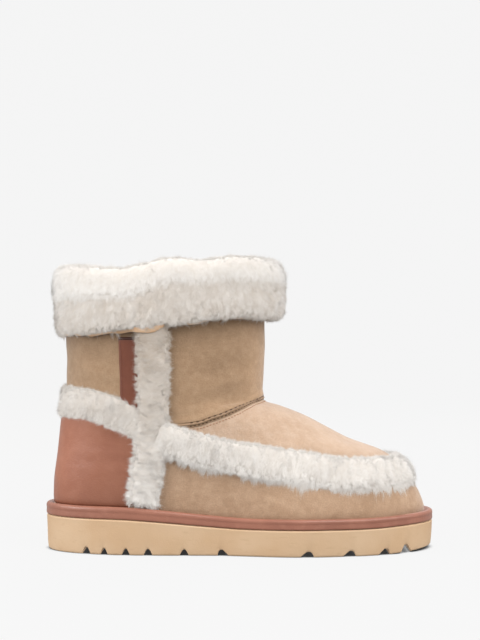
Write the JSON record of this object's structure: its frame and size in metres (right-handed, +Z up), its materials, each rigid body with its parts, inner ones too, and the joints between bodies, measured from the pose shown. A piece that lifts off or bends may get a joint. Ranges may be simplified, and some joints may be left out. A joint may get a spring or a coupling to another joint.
{
  "type": "ankle boot",
  "caption": "Pull-on ankle boot of suede with sheepskin trim over its seams, a turned-down sheepskin cuff, a leather heel counter and a thick moulded sole.",
  "frame": {"origin": "on the floor, at the middle of the boot's box", "axes": "+X to the toe, +Y to the inner side of the foot, +Z up"},
  "size_m": [0.2752, 0.119, 0.2077],
  "materials": {
    "sole": "matte cream foam rubber, lightly scuffed",
    "welt": "rolled terracotta leather with a soft shine",
    "insole": "short cream fleece",
    "suede": "beige suede, with a paler peach vamp",
    "counter": "smooth terracotta leather, fine grain",
    "tab": "smooth dark terracotta leather",
    "wool": "deep cream sheepskin pile",
    "hide": "tan suede back of the sheepskin"
  },
  "bodies": {
    "root": {"outsole": "sole", "welt": "welt", "insole": "insole", "upper": "suede", "heel_counter": "counter", "leather_tab_outer": "tab", "leather_tab_inner": "tab", "trim_upright_outer": "wool", "trim_upright_inner": "wool", "trim_toe": "wool", "trim_heel": "wool", "cuff_pile": "wool", "cuff_hide": "hide"}
  },
  "joints": []
}
